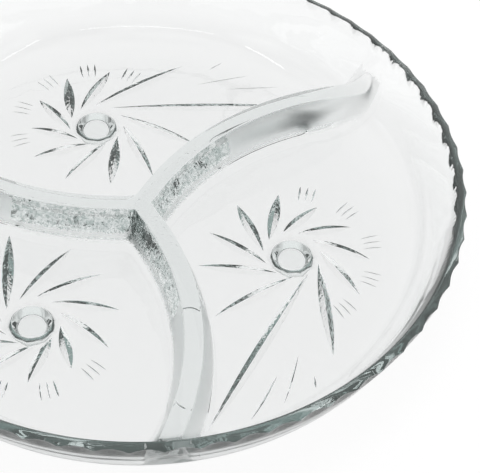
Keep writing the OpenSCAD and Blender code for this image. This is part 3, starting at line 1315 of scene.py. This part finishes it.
@dataclass(frozen=True)
class ClearGlass:
    """Clear pressed glass with a faint grey-green body and slightly wavy faces.

    The faces with the scratch attribute get dark scratch marks. These are painted shade that stands for the
    light their rough faces scatter away. The faces with "satin" are soft.
    The inner light stands for the light that the glass gathers after many reflections.
    """

    ior: float = 1.52
    tint: tuple[float, float, float] = (0.882, 0.90, 0.898)
    tint_density: float = 75.0
    inner_light: tuple[float, float, float] = (0.86, 1.0, 0.96)
    inner_strength: float = 1.0
    wave_size: float = 55.0
    wave_height: float = 0.00012
    wave_detail: float = 1.0
    # Colour of the darker patches on the bars' sides: painted shade for the light that their rough faces
    # scatter away
    scratch_shade_colour: tuple[float, float, float] = (0.34, 0.40, 0.385)
    scratch_shade_size: float = 420.0
    scratch_shade_detail: float = 3.0
    scratch_shade_bend: float = 1.4
    scratch_shade_clear: float = 0.38
    scratch_shade_contrast: float = 4.5
    satin_roughness: float = 0.55

    def shaded_scratches(self, tree: bpy.types.NodeTree, place: bpy.types.Node) -> bpy.types.NodeSocket:
        """Colour of the faces, with painted shade: darker patches on the dividers' rough sides that stand for
        the light those faces scatter away.

        Args:
            tree: The material's tree.
            place: Its Texture Coordinate node.

        Returns:
            The colour.
        """
        marks = put(tree, "ShaderNodeTexNoise", {}, {
            "Vector": place.outputs["Object"], "Scale": self.scratch_shade_size,
            "Detail": self.scratch_shade_detail, "Distortion": self.scratch_shade_bend})
        where = put(tree, "ShaderNodeAttribute", {"attribute_name": "scratch_shaded"})
        share = (Channel(tree, marks.outputs[0]) - self.scratch_shade_clear) * self.scratch_shade_contrast
        # A Mix node of colours has its factor at place 0, its colours at 6 and 7 and its result at 2
        mixed = put(tree, "ShaderNodeMix", {"data_type": "RGBA", "clamp_factor": True}, {
            0: share * Channel(tree, where.outputs["Fac"]),
            6: (1.0, 1.0, 1.0, 1.0), 7: (*self.scratch_shade_colour, 1.0)})
        return mixed.outputs[2]

    def material(self) -> bpy.types.Material:
        """Makes the glass material.

        Returns:
            The material.
        """
        made, tree = new_material("clear_pressed_glass")
        place = put(tree, "ShaderNodeTexCoord")
        wave = put(tree, "ShaderNodeTexNoise", {}, {
            "Vector": place.outputs["Object"], "Scale": self.wave_size, "Detail": self.wave_detail})
        bump = put(tree, "ShaderNodeBump", {}, {
            "Height": Channel(tree, wave.outputs[0]) * self.wave_height, "Strength": 1.0, "Distance": 1.0})
        satin = put(tree, "ShaderNodeAttribute", {"attribute_name": "satin"})
        glass = put(tree, "ShaderNodeBsdfPrincipled", {}, {
            "Base Color": self.shaded_scratches(tree, place),
            "Roughness": Channel(tree, satin.outputs["Fac"]) * self.satin_roughness,
            "IOR": self.ior, "Transmission Weight": 1.0, "Normal": bump.outputs[0]})
        absorb = put(tree, "ShaderNodeVolumeAbsorption", {}, {
            "Color": (*self.tint, 1.0), "Density": self.tint_density})
        stray = put(tree, "ShaderNodeEmission", {}, {
            "Color": (*self.inner_light, 1.0), "Strength": self.inner_strength})
        body = put(tree, "ShaderNodeAddShader", {}, {0: absorb.outputs[0], 1: stray.outputs[0]})
        put(tree, "ShaderNodeOutputMaterial", {}, {
            "Surface": glass.outputs[0], "Volume": body.outputs[0]})
        return made


@dataclass(frozen=True)
class PlainFloor:
    """White floor that keeps the tray's soft shadow.

    The white shares say how much of the floor's white is its own, and not lit, as the camera sees
    it, as a face of the glass mirrors it and as it is seen through the glass.
    """

    size: float = 6.0
    drop: float = 0.0002
    white_share: float = 0.93
    white_share_mirrored: float = 0.3
    white_share_in_glass: float = 0.76
    colour: tuple[float, float, float] = (0.97, 0.97, 0.97)

    def build(self) -> None:
        """Lays the floor under the feet."""
        half = self.size / 2
        mesh = bpy.data.meshes.new("floor_plane")
        corners = [(-half, -half, 0), (half, -half, 0), (half, half, 0), (-half, half, 0)]
        mesh.from_pydata(corners, [], [(0, 1, 2, 3)])
        made, tree = new_material("white_floor")
        light = put(tree, "ShaderNodeLightPath")
        seen, mirrored, through = (
            Channel(tree, light.outputs[f"Is {kind} Ray"]) for kind in ("Camera", "Glossy", "Transmission"))
        in_glass = through * self.white_share_in_glass + (1 - through) * mirrored * self.white_share_mirrored
        share = seen * self.white_share + (1 - seen) * in_glass
        matt = put(tree, "ShaderNodeBsdfDiffuse", {}, {"Color": (*self.colour, 1.0)})
        white = put(tree, "ShaderNodeEmission", {}, {"Color": (1, 1, 1, 1), "Strength": 1.0})
        mixed = put(tree, "ShaderNodeMixShader", {}, {0: share, 1: matt.outputs[0], 2: white.outputs[0]})
        put(tree, "ShaderNodeOutputMaterial", {}, {"Surface": mixed.outputs[0]})
        mesh.materials.append(made)
        floor = bpy.data.objects.new("floor_plane", mesh)
        bpy.context.scene.collection.objects.link(floor)
        floor.location.z = -self.drop
        floor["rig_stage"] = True


@dataclass(frozen=True)
class Lamp:
    """A flat lamp that looks at the middle of the tray, in metres and watts.

    It runs from the middle of one short side to the middle of the other, and the short sides are as
    long as it is wide. A mirrored lamp shows as a reflection in the glass.
    """

    name: str
    start: Point
    end: Point
    width: float
    watts: float
    mirrored: bool = True

    def build(self) -> None:
        """Hangs the lamp."""
        start, end = Vector(self.start), Vector(self.end)
        light = bpy.data.lights.new(self.name, "AREA")
        light.shape = "RECTANGLE"
        light.size, light.size_y = math.dist(self.start, self.end), self.width
        light.energy = self.watts
        along = (end - start).normalized()
        middle = (start + end) / 2
        back = (middle - along * middle.dot(along)).normalized()
        turn = Matrix((along, back.cross(along), back)).transposed()
        lamp = bpy.data.objects.new(self.name, light)
        lamp.matrix_world = Matrix.Translation(middle) @ turn.to_4x4()
        lamp.visible_transmission = False
        lamp.visible_glossy = self.mirrored
        bpy.context.scene.collection.objects.link(lamp)


@dataclass
class Studio:
    """Camera, lamps and world.

    The camera's distance and aim are counted in half widths of the tray, at the height of the rim's
    edge. The room is as bright as its level, more so at the far side and above, and never darker
    than room_dark.
    """

    half_across: float = WallSizes.across / 2 * MM
    edge_z: float = (WallSizes.height - WallSizes.rim_drop) * MM
    sensor: float = 36.0
    clip_start: float = 0.01
    elevation: float = 49.6
    roll: float = 4.0
    focal_px: float = 1550.0
    distance: float = 4.59
    aim: tuple[float, float] = (0.317, -0.222)
    frame_px: int = 480
    room_turn: float = 0.7
    room_lift: float = 0.5
    room_level: float = 0.45
    room_dark: float = 0.12
    room_patches: float = 1.3
    patch_size: float = 2.4
    patch_detail: float = 1.0
    lamps: tuple[Lamp, ...] = (
        Lamp("key_lamp", (-0.21, -0.12, 1.15), (0.21, -0.12, 1.15), 0.42, 5.0, False),
        Lamp("front_strip", (-0.46, -0.98, 0.95), (0.56, -0.98, 0.95), 0.03, 0.45),
        Lamp("left_strip", (-0.58, -0.62, 0.95), (-0.55, -0.14, 0.95), 0.03, 0.22),
        Lamp("right_strip", (0.67, -0.2, 0.95), (0.85, -0.79, 0.95), 0.03, 0.27),
    )

    def camera(self) -> None:
        """Places the camera where the photograph was taken from."""
        el = math.radians(self.elevation)
        back = Vector((0, -math.cos(el), math.sin(el)))
        right = Vector((1, 0, 0))
        up = back.cross(right)
        roll = math.radians(self.roll)
        turned_right = right * math.cos(roll) + up * math.sin(roll)
        turned_up = up * math.cos(roll) - right * math.sin(roll)
        lens = bpy.data.cameras.new("camera")
        lens.sensor_fit = "HORIZONTAL"
        lens.sensor_width = self.sensor
        lens.lens = self.focal_px / self.frame_px * self.sensor
        lens.clip_start = self.clip_start
        eye = bpy.data.objects.new("camera", lens)
        turn = Matrix((turned_right, turned_up, back)).transposed()
        spot = (Vector((*self.aim, 0)) + back * self.distance) * self.half_across
        spot += Vector((0, 0, self.edge_z))
        eye.matrix_world = Matrix.Translation(spot) @ turn.to_4x4()
        bpy.context.scene.collection.objects.link(eye)
        bpy.context.scene.camera = eye

    def world(self) -> None:
        """Makes white surroundings that are darker on the near side, as a room behind a camera is."""
        world = bpy.data.worlds.new("studio_world")
        bpy.context.scene.world = world
        world.use_nodes = True
        tree = world.node_tree
        tree.nodes.clear()
        place = put(tree, "ShaderNodeTexCoord")
        split = put(tree, "ShaderNodeSeparateXYZ", {}, {"Vector": place.outputs["Generated"]})
        away, up = Channel(tree, split.outputs["Y"]), Channel(tree, split.outputs["Z"])
        patches = put(tree, "ShaderNodeTexNoise", {}, {
            "Vector": place.outputs["Generated"], "Scale": self.patch_size, "Detail": self.patch_detail})
        facing = away * self.room_turn + up * self.room_lift + self.room_level
        facing = facing + (Channel(tree, patches.outputs[0]) - 0.5) * self.room_patches
        level = put(tree, "ShaderNodeMapRange", {"interpolation_type": "SMOOTHSTEP"}, {
            "Value": facing, "From Min": 0.0, "From Max": 1.0, "To Min": self.room_dark, "To Max": 1.0})
        light = put(tree, "ShaderNodeLightPath")
        seen = Channel(tree, light.outputs["Is Camera Ray"])
        strength = seen + (1 - seen) * Channel(tree, level.outputs["Result"])
        back = put(tree, "ShaderNodeBackground", {}, {"Color": (1, 1, 1, 1), "Strength": strength})
        put(tree, "ShaderNodeOutputWorld", {}, {"Surface": back.outputs[0]})

    def build(self) -> None:
        """Sets the studio up."""
        self.world()
        for lamp in self.lamps:
            lamp.build()
        self.camera()
        bpy.context.scene.view_settings.view_transform = "Standard"


def main() -> None:
    """Builds the pieces in order and reports each one."""
    logging.basicConfig(level=logging.INFO, format="%(message)s")
    GlassTray().build(ClearGlass().material())
    LOG.info("built the glass tray")
    PlainFloor().build()
    LOG.info("laid the floor")
    Studio().build()
    LOG.info("set up the studio")


def plain_bounds(bounds: object) -> object:
    """Bounds as plain nested lists."""
    return json.loads(json.dumps(bounds, default=lambda v: [float(x) for x in v]))


if __name__ == "__main__":
    main()
    plain_bounds(BOUNDS_AT_LOAD)
    plain_bounds(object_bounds())
